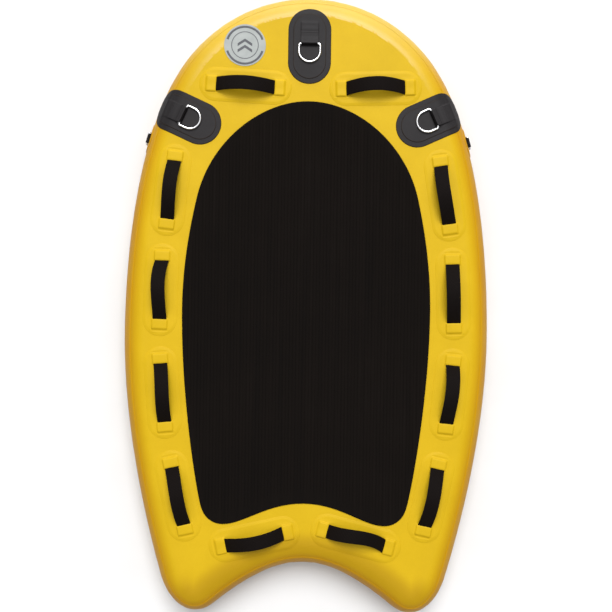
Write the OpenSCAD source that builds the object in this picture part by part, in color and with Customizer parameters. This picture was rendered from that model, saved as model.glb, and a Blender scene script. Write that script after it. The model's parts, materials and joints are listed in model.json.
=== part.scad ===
// Inflatable rescue board: a drop-stitch air chamber with a foam deck pad, webbing grab handles,
// D-ring tow points, two small side rings and an inflation valve in the tail notch.
// Millimetres, +Z up, nose towards +Y, lying flat with its underside at z = 0.

/* [Board] */
// Length over everything, nose to tail tips
board_length = 1720; // [1200:10:2400]
// Width over the side band
board_width = 1020; // [700:10:1300]
// Thickness of the inflated chamber
thickness = 150; // [80:1:200]
// Horizontal depth of the rounded rail
rail = 62; // [40:1:80]
// Thickness of the coated chamber skin
skin = 1.5; // [0.8:0.1:3]
// Thickness of the lapped side band
band = 1.5; // [0.8:0.1:3]

/* [Deck pad and badge] */
// Thickness of the foam deck pad
pad_thickness = 5; // [2:0.5:10]
// Radius of the round badge
badge_radius = 57.5; // [30:0.5:80]
// Thickness of the badge
badge_thickness = 1.2; // [0.5:0.1:3]

/* [Grab handles] */
// Width of the handle webbing
webbing_width = 38; // [20:1:60]
// Thickness of the handle webbing
webbing_thickness = 2.5; // [1.5:0.1:5]
// Radius of the raised loop of webbing
loop_radius = 100; // [60:1:200]
// Height of the loop over the deck
loop_height = 40; // [25:1:60]
// Half length of the part of the loop that leans over
loop_reach = 63; // [40:1:75]
// Length of a handle's welded patch
handle_patch_length = 255; // [200:5:320]
// Width of a handle's welded patch
handle_patch_width = 94; // [60:1:120]
// Thickness of a welded patch ply
patch_ply = 2; // [1:0.1:4]

/* [Tow rings] */
// Length of a tow ring's patch
tow_patch_length = 207; // [150:1:260]
// Width of a tow ring's patch
tow_patch_width = 118; // [80:1:150]
// Rim that the cover ply leaves bare
tow_rim = 14; // [5:1:25]
// Thickness of the cover ply
cover_ply = 1.5; // [0.8:0.1:3]
// Wire radius of a tow ring
tow_wire = 3; // [2:0.25:5]
// Half width of a tow ring at the wire's centre
tow_half_width = 29; // [20:0.5:40]
// Depth of a tow ring at the wire's centre
tow_depth = 49; // [30:0.5:60]
// Width of the webbing that holds a tow ring
tow_webbing = 45; // [20:1:50]

/* [Side rings] */
// Radius of a side ring's patch
side_patch_radius = 42; // [30:1:60]
// Wire radius of a side ring
side_wire = 2.5; // [1.5:0.25:4]
// Half width of a side ring at the wire's centre
side_half_width = 17.5; // [12:0.5:30]
// Depth of a side ring at the wire's centre
side_depth = 30; // [20:0.5:45]
// Width of the webbing that holds a side ring
side_webbing = 26; // [12:1:40]

/* [Valve] */
// Radius of the welded seat
seat_radius = 30; // [24:0.5:40]
// Radius of the valve body's flange and of its inner nut
flange_radius = 27; // [22:0.5:36]
// Outer radius of the valve body's tube
tube_radius = 19; // [14:0.5:24]
// Radius of the valve's mouth
mouth_radius = 15; // [10:0.5:20]
// Depth of the pocket in the seat that hides the valve below the wall's surface
pocket_depth = 14; // [13.5:0.5:20]

/* [Hidden] */
$fn = 96;
half_l = board_length / 2;
half_w = board_width / 2;
mid = thickness / 2;
deck = thickness;
gap = 0.3;

yellow = [0.88, 0.73, 0.16];
pad_black = [0.09, 0.08, 0.08];
webbing_black = [0.08, 0.07, 0.08];
patch_grey = [0.22, 0.22, 0.24];
badge_grey = [0.66, 0.68, 0.67];
steel = [0.75, 0.75, 0.76];
white = [0.92, 0.92, 0.9];
rubber_black = [0.1, 0.1, 0.1];
valve_grey = [0.3, 0.31, 0.33];

// The outline of the right half, nose to tail notch, as cubic curves drawn for a 1720 x 1020 board.
drawn_half_l = 860;
drawn_half_w = 510;
side_curves = [
    [[0, 860], [105, 860], [215, 820], [300, 735]],
    [[300, 735], [480, 565], [510, 145], [510, -85]],
    [[510, -85], [510, -330], [450, -590], [400, -760]],
    [[400, -760], [383, -818], [345, -860], [300, -860]],
    [[300, -860], [262, -860], [243, -835], [220, -818]],
    [[220, -818], [155, -770], [80, -722], [0, -722]]
];
side_steps = [8, 16, 8, 6, 4, 6];

pad_curves = [
    [[0, 560], [130, 560], [270, 450], [305, 290]],
    [[305, 290], [322, 212], [341, 110], [341, -15]],
    [[341, -15], [341, -262], [293, -524], [282, -558]],
    [[282, -558], [275, -582], [255, -605], [222, -605]],
    [[222, -605], [165, -605], [100, -546], [0, -546]]
];
pad_steps = [14, 6, 10, 6, 8];

function bezier(c, u) = pow(1 - u, 3) * c[0] + 3 * u * pow(1 - u, 2) * c[1]
    + 3 * u * u * (1 - u) * c[2] + pow(u, 3) * c[3];
function heading(c, u) = let (d = (1 - u) * (1 - u) * (c[1] - c[0])
    + 2 * u * (1 - u) * (c[2] - c[1]) + u * u * (c[3] - c[2])) d / norm(d);
function scaled(p) = [p.x * half_w / drawn_half_w, p.y * half_l / drawn_half_l];
function sampled(curves, steps) = [for (c = [0 : len(curves) - 1], k = [0 : steps[c] - 1])
    scaled(bezier(curves[c], k / steps[c]))];

// The whole outline as a loop of points with outward normals: nose, right side, notch, left side.
half_n = 48;
loop_n = 2 * half_n;
right_pts = concat(sampled(side_curves, side_steps), [scaled(side_curves[5][3])]);
right_out = concat([for (c = [0 : 5], k = [0 : side_steps[c] - 1])
    let (h = heading(side_curves[c], k / side_steps[c])) [-h.y, h.x]], [[0, -1]]);
loop_pts = concat(right_pts, [for (i = [half_n - 1 : -1 : 1]) [-right_pts[i].x, right_pts[i].y]]);
loop_out = concat(right_out, [for (i = [half_n - 1 : -1 : 1]) [-right_out[i].x, right_out[i].y]]);

// Section angles up the rail, from the deck edge at 90 past the widest point at 0, each with the
// extra height at which a ply rides there. A tow patch steps up over the edge of the side band.
top_rows = [[90, 0], [71, 0], [53, 0], [35, 0]];
liner_rows = [[35, 0], [17.5, 0], [0, 0], [-17.5, 0], [-35, 0]];
band_rows = [[53, 0], [35, 0], [17.5, 0], [0, 0], [-17.5, 0], [-35, 0], [-53, 0]];
bottom_rows = [[-35, 0], [-53, 0], [-71, 0], [-90, 0]];
tow_rows = [[90, 0], [71, 0], [54, 0], [53, band], [35, band], [17.5, band]];

// A point on the chamber at outline step i and section angle a, t above the skin's outer face.
function wrapped(i) = (i % loop_n + loop_n) % loop_n;
function skin_point(i, a, t) = let (k = wrapped(i), r = (rail + t) * cos(a) - rail - band)
    [loop_pts[k].x + loop_out[k].x * r, loop_pts[k].y + loop_out[k].y * r, mid + (mid + t) * sin(a)];

// Two triangles for the four corners a, b, c, d, listed clockwise as seen from outside.
function two(a, b, c, d) = [[a, b, c], [a, c, d]];
function joined(lists) = [for (list = lists, item = list) item];
// Where step i, row j, face s (0 inner, 1 outer) stands in a ply's list of points.
function spot(i, j, s, rows, count) = ((i % count) * rows + j) * 2 + s;

// Both faces of a ply of n steps, and the edges along its first and last rows.
function wall_faces(n, rows, count) = joined([for (i = [0 : n - 1], j = [0 : rows - 2])
    concat(two(spot(i, j, 1, rows, count), spot(i, j + 1, 1, rows, count),
               spot(i + 1, j + 1, 1, rows, count), spot(i + 1, j, 1, rows, count)),
           two(spot(i, j, 0, rows, count), spot(i + 1, j, 0, rows, count),
               spot(i + 1, j + 1, 0, rows, count), spot(i, j + 1, 0, rows, count)))]);
function first_edge(n, rows, count) = joined([for (i = [0 : n - 1])
    two(spot(i, 0, 0, rows, count), spot(i, 0, 1, rows, count),
        spot(i + 1, 0, 1, rows, count), spot(i + 1, 0, 0, rows, count))]);
function last_edge(n, rows, count) = joined([for (i = [0 : n - 1])
    two(spot(i, rows - 1, 0, rows, count), spot(i + 1, rows - 1, 0, rows, count),
        spot(i + 1, rows - 1, 1, rows, count), spot(i, rows - 1, 1, rows, count))]);
function end_faces(n, rows, count) = joined([for (j = [0 : rows - 2])
    concat(two(spot(0, j, 1, rows, count), spot(0, j, 0, rows, count),
               spot(0, j + 1, 0, rows, count), spot(0, j + 1, 1, rows, count)),
           two(spot(n, j, 0, rows, count), spot(n, j, 1, rows, count),
               spot(n, j + 1, 1, rows, count), spot(n, j + 1, 0, rows, count)))]);

// One ply that follows the rail from outline step first to last. With inward set, a flat tongue
// reaches that far in over the deck.
module rail_ply(first, last, section, low, high, inward = [0, 0]) {
    n = last - first;
    closed = n == loop_n;
    count = closed ? n : n + 1;
    tongue = norm(inward) > 0 ? 1 : 0;
    rows = len(section) + tongue;
    points = [for (i = [0 : count - 1], j = [-tongue : len(section) - 1], t = [low, high])
        let (row = section[max(j, 0)], p = skin_point(first + i, row[0], row[1] + t))
        j < 0 ? p + [inward.x, inward.y, 0] : p];
    polyhedron(points, concat(wall_faces(n, rows, count), first_edge(n, rows, count),
        last_edge(n, rows, count), closed ? [] : end_faces(n, rows, count)), convexity = 6);
}

// Triangles of a flat sheet between front steps k and k + 1 and their partners at the back,
// clockwise from above. The two runs meet at the widest point.
function sheet_strip(side, k) = let (a = wrapped(side * k), b = wrapped(side * (k + 1)),
    c = wrapped(side * (half_n - k - 1)), d = wrapped(side * (half_n - k)))
    b == c ? (side > 0 ? [[a, b, d]] : [[d, b, a]])
           : (side > 0 ? two(a, b, c, d) : two(d, c, b, a));
sheet = joined([for (side = [1, -1], k = [0 : half_n / 2 - 1]) sheet_strip(side, k)]);
function sheet_faces(row, s, rows, facing_up) = [for (f = sheet)
    let (ids = [for (m = f) spot(m, row, s, rows, loop_n)]) facing_up ? ids : [ids[2], ids[1], ids[0]]];

// A flat sheet with its share of the rounded rail in one ply: the deck side or the underside.
module shell(section) {
    rows = len(section);
    top = section[0][0] > 0;
    flat_row = top ? 0 : rows - 1;
    points = [for (i = [0 : loop_n - 1], row = section, t = [-skin, 0]) skin_point(i, row[0], t)];
    polyhedron(points, concat(wall_faces(loop_n, rows, loop_n),
        top ? last_edge(loop_n, rows, loop_n) : first_edge(loop_n, rows, loop_n),
        sheet_faces(flat_row, 1, rows, top), sheet_faces(flat_row, 0, rows, !top)), convexity = 6);
}

// ---------------------------------------------------------------- air chamber

module top_skin() { color(yellow) shell(top_rows); }

module bottom_skin() { color(yellow) shell(bottom_rows); }

// The round hole in the tail wall that the valve's seat fills.
module valve_hole() {
    valve_frame() translate([0, 0, -2 * pocket_depth])
        cylinder(r = seat_radius, h = 2 * (pocket_depth + seat_depth));
}

module rail_liner() {
    color(yellow) difference() {
        rail_ply(0, loop_n, liner_rows, -skin, 0);
        valve_hole();
    }
}

// The band is a strip along each side and a short one across the notch, three outline steps each way.
tail_steps = 3;
module rail_band(first, last) {
    color(yellow) difference() {
        rail_ply(first, last, band_rows, 0, band);
        valve_hole();
    }
}

// A sparse set stands in for the thousands of threads that tie the two faces together.
thread_radius = 0.8;
thread_pitch = 150;
module drop_threads() {
    color(white)
        for (x = [-2 : 2], y = [-4 : 5])
            if (norm([x / 3.1, y / 5.4]) < 1)
                translate([x * thread_pitch, y * thread_pitch, skin])
                    cylinder(r = thread_radius, h = thickness - 2 * skin, $fn = 16);
}

// ---------------------------------------------------------------- deck pad and badge

module deck_pad() {
    right = concat(sampled(pad_curves, pad_steps), [scaled(pad_curves[4][3])]);
    left = [for (i = [len(right) - 2 : -1 : 1]) [-right[i].x, right[i].y]];
    color(pad_black) translate([0, 0, deck]) linear_extrude(pad_thickness)
        polygon(concat(right, left));
}

badge_at = [-178, 712];
module badge() {
    color(badge_grey) translate([badge_at.x, badge_at.y, deck])
        cylinder(r = badge_radius, h = badge_thickness);
}

// ---------------------------------------------------------------- grab handles

// Each handle's name, middle and turn; the webbing runs along its own X. They are set by hand, so
// the two sides differ by a few millimetres.
handles = [
    ["nose_right", [183, 598], 1.7],
    ["right_1", [377.5, 306.5], 98.9],
    ["right_2", [403.5, 36], 92],
    ["right_3", [397, -241], 84.4],
    ["right_4", [350, -524.5], 78],
    ["tail_right", [144.5, -640], -14.2],
    ["nose_left", [-175, 600.5], 177],
    ["left_1", [-376, 311.5], 83.6],
    ["left_2", [-400, 36.5], 88.4],
    ["left_3", [-391.5, -246], 94.9],
    ["left_4", [-345.5, -529.5], 102.8],
    ["tail_left", [-134, -646], 192.6]
];
module handle_frame(h) { translate([h[1].x, h[1].y, deck]) rotate(h[2]) children(); }

mouth = 80;
cover_length = 28;
cover_slope = 4;
cover_margin = 2.5;
module slot_outline(length, width) {
    square([length - width, width], center = true);
    for (side = [-1, 1]) translate([side * (length - width) / 2, 0]) circle(d = width);
}

// The welded patch, with a raised cover over each sewn end of the webbing.
module handle_patch(h) {
    wide = webbing_width + 2 * cover_margin;
    top = patch_ply + webbing_thickness + patch_ply;
    color(yellow) handle_frame(h) difference() {
        union() {
            linear_extrude(patch_ply) slot_outline(handle_patch_length, handle_patch_width);
            for (turn = [0, 180]) rotate(turn) rotate([90, 0, 0])
                linear_extrude(wide, center = true)
                    polygon([[mouth, patch_ply / 2], [mouth + cover_length, patch_ply / 2],
                        [mouth + cover_length, patch_ply], [mouth + cover_length - cover_slope, top],
                        [mouth, top]]);
        }
        for (turn = [0, 180]) rotate(turn)
            translate([mouth - 1, -webbing_width / 2, patch_ply])
                cube([cover_length - cover_slope, webbing_width, webbing_thickness]);
    }
}

// The webbing's loop as a ring on edge, its middle below the deck.
module webbing_ring() {
    translate([0, 0, loop_height - loop_radius]) rotate([90, 0, 0])
        difference() {
            cylinder(r = loop_radius + webbing_thickness / 2, h = webbing_width, center = true);
            cylinder(r = loop_radius - webbing_thickness / 2, h = webbing_width + 2, center = true);
        }
}

// The raised part of a handle, which leans to either side.
module handle_strap(h) {
    color(webbing_black) handle_frame(h) intersection() {
        webbing_ring();
        translate([-loop_reach, -webbing_width, 0])
            cube([2 * loop_reach, 2 * webbing_width, 2 * loop_height]);
    }
}

// The fixed ends of every handle's webbing: the foot of each loop and the sewn tail under its cover.
module webbing_ends() {
    tail_start = mouth - 3;
    tail_end = mouth + cover_length - cover_slope - 1;
    color(webbing_black) for (h = handles) handle_frame(h) for (turn = [0, 180]) rotate(turn) {
        intersection() {
            webbing_ring();
            translate([loop_reach, -webbing_width, patch_ply])
                cube([mouth - loop_reach, 2 * webbing_width, loop_height]);
        }
        translate([tail_start, -webbing_width / 2, patch_ply])
            cube([tail_end - tail_start, webbing_width, webbing_thickness]);
    }
}

// ---------------------------------------------------------------- tow rings

// Each tow patch's name, middle, turn, the outline steps it spans and how far its outer round end's
// middle lies inside the deck's edge. The left one mirrors the right one.
tow_nose = ["nose", [0, 711.5], 90, -3, 3, 40.5];
tow_side = ["right", [339.5, 514.5], 24.5, 9, 15, -22.5];
tow_bar = 5.5;
tow_tongue = 210;
rail_arc = (PI / 2) * sqrt((rail * rail + mid * mid) / 2);

module tow_frame(p) { translate([p[1].x, p[1].y, 0]) rotate(p[2]) children(); }
module on_both_sides(side) { if (side < 0) mirror([1, 0, 0]) children(); else children(); }

// How far out, seen from above, a ply reaches that runs `along` past its round end's middle.
function seen(along, inside) = along < inside ? along
    : inside + rail * sin(90 * (along - inside) / rail_arc);
module tow_outline(p, radius) {
    offset_x = (tow_patch_length - tow_patch_width) / 2;
    turns = 12;
    polygon(concat(
        [for (k = [0 : turns]) let (a = -90 + 180 * k / turns)
            [offset_x + seen(radius * cos(a), p[5]), radius * sin(a)]],
        [for (k = [0 : turns]) let (a = 90 + 180 * k / turns)
            [-offset_x + radius * cos(a), radius * sin(a)]]));
}
module tow_ply(p, low, high) {
    away = [-cos(p[2]), -sin(p[2])] * tow_tongue;
    intersection() {
        rail_ply(p[3], p[4], tow_rows, low, high, away);
        tow_frame(p) linear_extrude(2 * deck) children();
    }
}
module tow_base(p) { color(patch_grey) tow_ply(p, 0, patch_ply) tow_outline(p, tow_patch_width / 2); }

module tow_cover(p) {
    color(patch_grey) tow_ply(p, patch_ply, patch_ply + cover_ply)
        tow_outline(p, tow_patch_width / 2 - tow_rim);
}

tow_seat = patch_ply + cover_ply;
tow_pin = tow_seat + cover_ply + gap + tow_wire;
tow_strap_length = 36;
tow_wedge = 20;

// The webbing that wraps the ring's bar and is welded down towards the rail.
module tow_loop(p) {
    color(webbing_black) {
        tow_ply(p, tow_seat, tow_seat + cover_ply)
            translate([tow_bar, -tow_webbing / 2]) square([tow_strap_length, tow_webbing]);
        tow_frame(p) translate([tow_bar, 0, deck]) rotate([90, 0, 0])
            linear_extrude(tow_webbing, center = true) bar_loop(tow_pin, tow_wire, tow_seat, tow_wedge);
    }
}

// A loop's profile: a round eye about the bar and a taper down to its flat tail.
module bar_loop(height, wire, floor_z, taper) {
    eye = wire + gap;
    difference() {
        union() {
            translate([0, height]) circle(r = eye + cover_ply);
            polygon([[0, floor_z], [0, height + eye + cover_ply],
                [taper, floor_z + cover_ply], [taper, floor_z]]);
        }
        translate([0, height]) circle(r = eye);
    }
}

// A D-shaped ring of round wire: its bar lies along Y and the bow reaches towards -X.
module d_ring(wire, half_width, depth, bend) {
    leg = depth - half_width;
    rotate([90, 0, 0]) cylinder(r = wire, h = 2 * (half_width - bend), center = true);
    for (side = [0, 1]) mirror([0, side, 0]) {
        translate([-bend, half_width - bend, 0])
            rotate_extrude(angle = 90) translate([bend, 0]) circle(r = wire);
        translate([-leg, half_width, 0]) rotate([0, 90, 0]) cylinder(r = wire, h = leg - bend);
    }
    translate([-leg, 0, 0]) rotate(90)
        rotate_extrude(angle = 180) translate([half_width, 0]) circle(r = wire);
}

module tow_ring(p) {
    color(steel) tow_frame(p) translate([tow_bar, 0, deck + tow_pin])
        d_ring(tow_wire, tow_half_width, tow_depth, tow_wire + 2);
}

// ---------------------------------------------------------------- side rings

side_step = 14;
side_bar_z = 8;
side_bar_x = 5.6;
// How far the cutting shapes reach from inside the wall to outside it
side_cut = 60;
// The sewn tail's height, and where the loop's taper starts and ends on the curved wall
side_tail = 28;
taper_foot = 1.3;
taper_top = [0.8, 27];
taper_back = [-0.9, 24];
side_turn = atan2(loop_out[side_step].y, loop_out[side_step].x);
module side_frame() {
    translate([loop_pts[side_step].x, loop_pts[side_step].y, mid]) rotate(side_turn) children();
}

module side_ply(low, high) {
    intersection() {
        rail_ply(side_step - 2, side_step + 2, liner_rows, low, high);
        side_frame() children();
    }
}

module side_patch() {
    color(yellow) side_ply(band, band + patch_ply)
        rotate([0, 90, 0]) cylinder(r = side_patch_radius, h = 2 * side_cut, center = true);
}

module side_loop() {
    low = band + patch_ply;
    eye = side_wire + gap;
    color(webbing_black) {
        side_ply(low, low + cover_ply)
            translate([-side_cut, -side_webbing / 2, side_bar_z])
                cube([2 * side_cut, side_webbing, side_tail]);
        side_frame() rotate([90, 0, 0]) linear_extrude(side_webbing, center = true) difference() {
            union() {
                translate([side_bar_x, side_bar_z]) circle(r = eye + cover_ply);
                polygon([[taper_foot, side_bar_z], [side_bar_x + eye + cover_ply, side_bar_z],
                    taper_top, taper_back]);
            }
            translate([side_bar_x, side_bar_z]) circle(r = eye);
        }
    }
}

module side_ring() {
    color(steel) side_frame() translate([side_bar_x, 0, side_bar_z]) rotate([0, -90, 0])
        d_ring(side_wire, side_half_width, side_depth, side_wire + 1.5);
}

// ---------------------------------------------------------------- valve

// Depths are measured inwards from the floor of the seat's pocket.
seat_depth = 15;
pocket_radius = flange_radius + 1;
flange_depth = 2.5;
tube_depth = 38;
lip_front = 20;
lip_back = 23;
lip_radius = 9;
guide_front = 34;
disc_depth = 3;
stem_radius = 3;
stem_front = 6;
stem_length = 36;
button_front = 5;
button_depth = 3;
vent_count = 4;
vent_at = 9.5;
nut_depth = 5;
nut_notches = 8;
cap_radius = 22;
cap_disc = 5;
cap_plug = 7;
grip_length = 34;
grip_width = 8;
grip_height = 5;
seal_inner = 17;
seal_outer = 20;
coil_radius = 8;
coil_wire = 0.6;
coil_turns = 4;
notch_y = loop_pts[half_n].y;
module valve_frame() { translate([0, notch_y + pocket_depth, mid]) rotate([-90, 0, 0]) children(); }

// A plug of the chamber's own outer shape, with a round pocket that the valve sits in.
module valve_seat() {
    color(yellow) difference() {
        intersection() {
            rail_ply(half_n - 2, half_n + 2, band_rows, -2 * pocket_depth - seat_depth / 2, band);
            valve_frame() translate([0, 0, -2 * pocket_depth])
                cylinder(r = seat_radius, h = 2 * pocket_depth + seat_depth);
        }
        valve_frame() {
            translate([0, 0, -2 * pocket_depth]) cylinder(r = pocket_radius, h = 2 * pocket_depth);
            translate([0, 0, -1]) cylinder(r = tube_radius, h = seat_depth + 2);
        }
    }
}

module valve_body() {
    color(valve_grey) valve_frame() difference() {
        union() {
            translate([0, 0, -flange_depth]) cylinder(r = flange_radius, h = flange_depth);
            cylinder(r = tube_radius, h = tube_depth);
        }
        translate([0, 0, -flange_depth - 1])
            cylinder(r = mouth_radius, h = lip_front + flange_depth + 1);
        translate([0, 0, lip_front - 1]) cylinder(r = lip_radius, h = lip_back - lip_front + 2);
        translate([0, 0, lip_back]) cylinder(r = mouth_radius, h = guide_front - lip_back);
        translate([0, 0, guide_front - 1]) {
            cylinder(r = stem_radius + gap, h = 10);
            for (k = [1 : vent_count]) rotate((k - 0.5) * 360 / vent_count) translate([vent_at, 0, 0])
                cylinder(r = 3, h = 10);
        }
    }
}

module valve_nut() {
    color(valve_grey) valve_frame() translate([0, 0, seat_depth]) difference() {
        cylinder(r = flange_radius, h = nut_depth);
        translate([0, 0, -1]) cylinder(r = tube_radius, h = nut_depth + 2);
        for (k = [1 : nut_notches]) rotate(k * 360 / nut_notches) translate([flange_radius + 1, 0, -1])
            cylinder(r = 3, h = nut_depth + 2);
    }
}

module valve_plunger() {
    color(white) valve_frame() {
        translate([0, 0, lip_back]) cylinder(r = lip_radius + 3, h = disc_depth);
        translate([0, 0, stem_front]) cylinder(r = stem_radius, h = stem_length);
        translate([0, 0, button_front]) cylinder(r = 2 * stem_radius, h = button_depth);
    }
}

module valve_spring() {
    start = lip_back + disc_depth + coil_wire;
    rise = guide_front - coil_wire - start;
    steps = 12 * coil_turns;
    sides = 6;
    points = [for (i = [0 : steps], k = [0 : sides - 1])
        let (a = 30 * i, b = 360 * k / sides, r = coil_radius + coil_wire * cos(b))
        [r * cos(a), r * sin(a), start + rise * i / steps + coil_wire * sin(b)]];
    walls = joined([for (i = [0 : steps - 1], k = [0 : sides - 1]) let (m = (k + 1) % sides)
        two(i * sides + k, i * sides + m, (i + 1) * sides + m, (i + 1) * sides + k)]);
    ends = [[for (k = [sides - 1 : -1 : 0]) k], [for (k = [0 : sides - 1]) steps * sides + k]];
    color(steel) valve_frame() polyhedron(points, concat(walls, ends), convexity = 8);
}

module valve_cap() {
    back = -flange_depth - 1;
    color(valve_grey) valve_frame() {
        difference() {
            union() {
                translate([0, 0, back - cap_disc]) cylinder(r = cap_radius, h = cap_disc);
                translate([0, 0, back]) cylinder(r = mouth_radius - gap, h = cap_plug);
            }
            translate([0, 0, back]) cylinder(r = mouth_radius - 3, h = cap_plug + 1);
        }
        translate([-grip_length / 2, -grip_width / 2, back - cap_disc - grip_height])
            cube([grip_length, grip_width, grip_height]);
    }
}

module valve_cap_seal() {
    color(rubber_black) valve_frame() translate([0, 0, -flange_depth - 1]) difference() {
        cylinder(r = seal_outer, h = 1);
        translate([0, 0, -1]) cylinder(r = seal_inner, h = 3);
    }
}

// ---------------------------------------------------------------- choosing what to draw

tow_names = ["nose", "right", "left"];
NODES = concat(
    ["top_skin", "bottom_skin", "rail_liner", "rail_band_right", "rail_band_left", "rail_band_tail",
     "drop_threads", "deck_pad", "badge", "webbing_ends"],
    [for (h = handles) str("handle_patch_", h[0])],
    [for (h = handles) str("handle_strap_", h[0])],
    [for (part = ["base", "cover", "loop", "ring"], name = tow_names) str("tow_", part, "_", name)],
    [for (part = ["patch", "loop", "ring"], side = ["right", "left"]) str("side_", part, "_", side)],
    ["valve_seat", "valve_body", "valve_nut", "valve_plunger", "valve_spring", "valve_cap",
     "valve_cap_seal"]
);
node = "all";
function wanted(name) = node == "all" || node == name;

if (wanted("top_skin")) top_skin();
if (wanted("bottom_skin")) bottom_skin();
if (wanted("rail_liner")) rail_liner();
if (wanted("rail_band_right")) rail_band(0, half_n - tail_steps);
if (wanted("rail_band_left")) rail_band(half_n + tail_steps, loop_n);
if (wanted("rail_band_tail")) rail_band(half_n - tail_steps, half_n + tail_steps);
if (wanted("drop_threads")) drop_threads();
if (wanted("deck_pad")) deck_pad();
if (wanted("badge")) badge();
if (wanted("webbing_ends")) webbing_ends();
for (h = handles) {
    if (wanted(str("handle_patch_", h[0]))) handle_patch(h);
    if (wanted(str("handle_strap_", h[0]))) handle_strap(h);
}
for (name = tow_names) on_both_sides(name == "left" ? -1 : 1) {
    p = name == "nose" ? tow_nose : tow_side;
    if (wanted(str("tow_base_", name))) tow_base(p);
    if (wanted(str("tow_cover_", name))) tow_cover(p);
    if (wanted(str("tow_loop_", name))) tow_loop(p);
    if (wanted(str("tow_ring_", name))) tow_ring(p);
}
for (name = ["right", "left"]) on_both_sides(name == "left" ? -1 : 1) {
    if (wanted(str("side_patch_", name))) side_patch();
    if (wanted(str("side_loop_", name))) side_loop();
    if (wanted(str("side_ring_", name))) side_ring();
}
if (wanted("valve_seat")) valve_seat();
if (wanted("valve_body")) valve_body();
if (wanted("valve_nut")) valve_nut();
if (wanted("valve_plunger")) valve_plunger();
if (wanted("valve_spring")) valve_spring();
if (wanted("valve_cap")) valve_cap();
if (wanted("valve_cap_seal")) valve_cap_seal();
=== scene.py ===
"""Looks of the inflatable rescue board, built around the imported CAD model."""
import json
import math

import bmesh
import bpy
import numpy as np
from mathutils import Matrix, Vector

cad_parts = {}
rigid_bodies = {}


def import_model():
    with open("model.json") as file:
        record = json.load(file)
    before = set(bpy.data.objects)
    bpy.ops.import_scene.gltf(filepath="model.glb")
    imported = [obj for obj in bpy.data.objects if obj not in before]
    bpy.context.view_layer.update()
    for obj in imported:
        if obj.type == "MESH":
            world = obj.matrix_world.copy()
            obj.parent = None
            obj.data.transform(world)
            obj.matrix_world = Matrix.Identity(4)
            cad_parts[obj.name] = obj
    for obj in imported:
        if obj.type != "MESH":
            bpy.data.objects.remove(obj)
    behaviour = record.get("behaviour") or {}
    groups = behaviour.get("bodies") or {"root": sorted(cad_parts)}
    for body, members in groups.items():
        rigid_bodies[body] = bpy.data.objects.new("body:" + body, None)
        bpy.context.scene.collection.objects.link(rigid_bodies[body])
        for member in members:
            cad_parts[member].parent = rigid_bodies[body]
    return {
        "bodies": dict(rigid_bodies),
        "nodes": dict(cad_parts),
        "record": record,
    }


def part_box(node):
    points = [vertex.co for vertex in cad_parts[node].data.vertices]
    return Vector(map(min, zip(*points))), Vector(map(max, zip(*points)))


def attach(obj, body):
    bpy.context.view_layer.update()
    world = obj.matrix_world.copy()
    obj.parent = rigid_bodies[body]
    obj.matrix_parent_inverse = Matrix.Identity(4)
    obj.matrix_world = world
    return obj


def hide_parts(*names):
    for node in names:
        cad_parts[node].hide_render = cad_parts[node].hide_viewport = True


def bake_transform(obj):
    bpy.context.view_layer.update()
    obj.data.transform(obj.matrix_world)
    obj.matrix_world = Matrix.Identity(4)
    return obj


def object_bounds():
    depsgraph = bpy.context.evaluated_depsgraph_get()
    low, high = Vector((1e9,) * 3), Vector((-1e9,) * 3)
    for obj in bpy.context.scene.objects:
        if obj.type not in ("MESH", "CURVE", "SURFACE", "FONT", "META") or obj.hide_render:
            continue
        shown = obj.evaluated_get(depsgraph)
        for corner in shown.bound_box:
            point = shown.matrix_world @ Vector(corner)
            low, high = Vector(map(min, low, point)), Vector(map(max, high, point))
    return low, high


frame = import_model()
cad_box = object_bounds()
RECORD = frame["record"]
JOINTS = {j["name"]: j for j in RECORD["behaviour"]["joints"]}
MM = 0.001

# ---------------------------------------------------------------- the board's outline and section

HALF_W, HALF_L = cad_box[1][0], cad_box[1][1]
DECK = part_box("top_skin")[1][2]
MID = DECK / 2
BAND = (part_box("rail_band_right")[1][0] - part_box("rail_liner")[1][0])
SKIN = 1.5 * MM
PAD_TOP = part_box("deck_pad")[1][2]
RAIL = 62 * MM
BAND_ANGLE = 53.0

# Cubic curves of the right half, nose to tail notch, drawn for a 1.72 by 1.02 board.
DRAWN = (0.510, 0.860)
SIDE_CURVES = [
    [(0, 860), (105, 860), (215, 820), (300, 735)],
    [(300, 735), (480, 565), (510, 145), (510, -85)],
    [(510, -85), (510, -330), (450, -590), (400, -760)],
    [(400, -760), (383, -818), (345, -860), (300, -860)],
    [(300, -860), (262, -860), (243, -835), (220, -818)],
    [(220, -818), (155, -770), (80, -722), (0, -722)],
]
SIDE_STEPS = [64, 128, 96, 48, 16, 32]
PAD_CURVES = [
    [(0, 560), (130, 560), (270, 450), (305, 290)],
    [(305, 290), (322, 212), (341, 110), (341, -15)],
    [(341, -15), (341, -262), (293, -524), (282, -558)],
    [(282, -558), (275, -582), (255, -605), (222, -605)],
    [(222, -605), (165, -605), (100, -546), (0, -546)],
]


def curve_points(curves, steps):
    """Points and headings along a chain of cubic curves, in metres on this board."""
    pts, out = [], []
    scale = np.array([HALF_W / DRAWN[0], HALF_L / DRAWN[1]]) * MM
    for curve, n in zip(curves, steps):
        c = np.array(curve, float) * scale
        u = np.arange(n)[:, None] / n
        early = (1 - u) ** 3 * c[0] + 3 * u * (1 - u) ** 2 * c[1]
        late = 3 * u * u * (1 - u) * c[2] + u**3 * c[3]
        pts.append(early + late)
        d = (1 - u) ** 2 * (c[1] - c[0]) + 2 * u * (1 - u) * (c[2] - c[1]) + u * u * (c[3] - c[2])
        out.append(d / np.linalg.norm(d, axis=1, keepdims=True))
    pts.append(np.array([curves[-1][3]], float) * scale)
    out.append(np.array([[-1.0, 0.0]]))
    return np.vstack(pts), np.vstack(out)


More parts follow.
